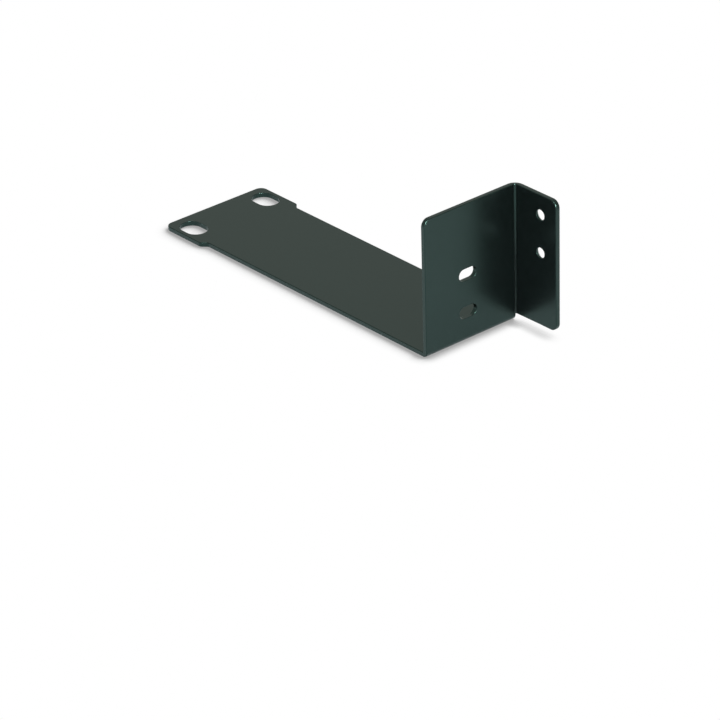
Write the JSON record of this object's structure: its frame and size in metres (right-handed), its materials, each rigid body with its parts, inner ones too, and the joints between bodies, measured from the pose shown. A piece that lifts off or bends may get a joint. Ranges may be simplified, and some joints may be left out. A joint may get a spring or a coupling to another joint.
{
  "type": "rack mount ear bracket",
  "caption": "Folded sheet-steel ear bracket that carries a small device in a rack: a long front plate with a slotted ear, an upright side plate and a small drilled flange.",
  "frame": {"origin": "on the front face, midway between the two rack slots", "axes": "+Y runs along the front plate to the ear's free end, +Z out of the front plate's back, into the rack, and +X to the side that has the flange, across the rack unit's height"},
  "size_m": [0.043, 0.15, 0.049],
  "materials": {
    "painted_steel": "satin"
  },
  "bodies": {
    "root": {"ear_bracket": "painted_steel"}
  },
  "joints": []
}
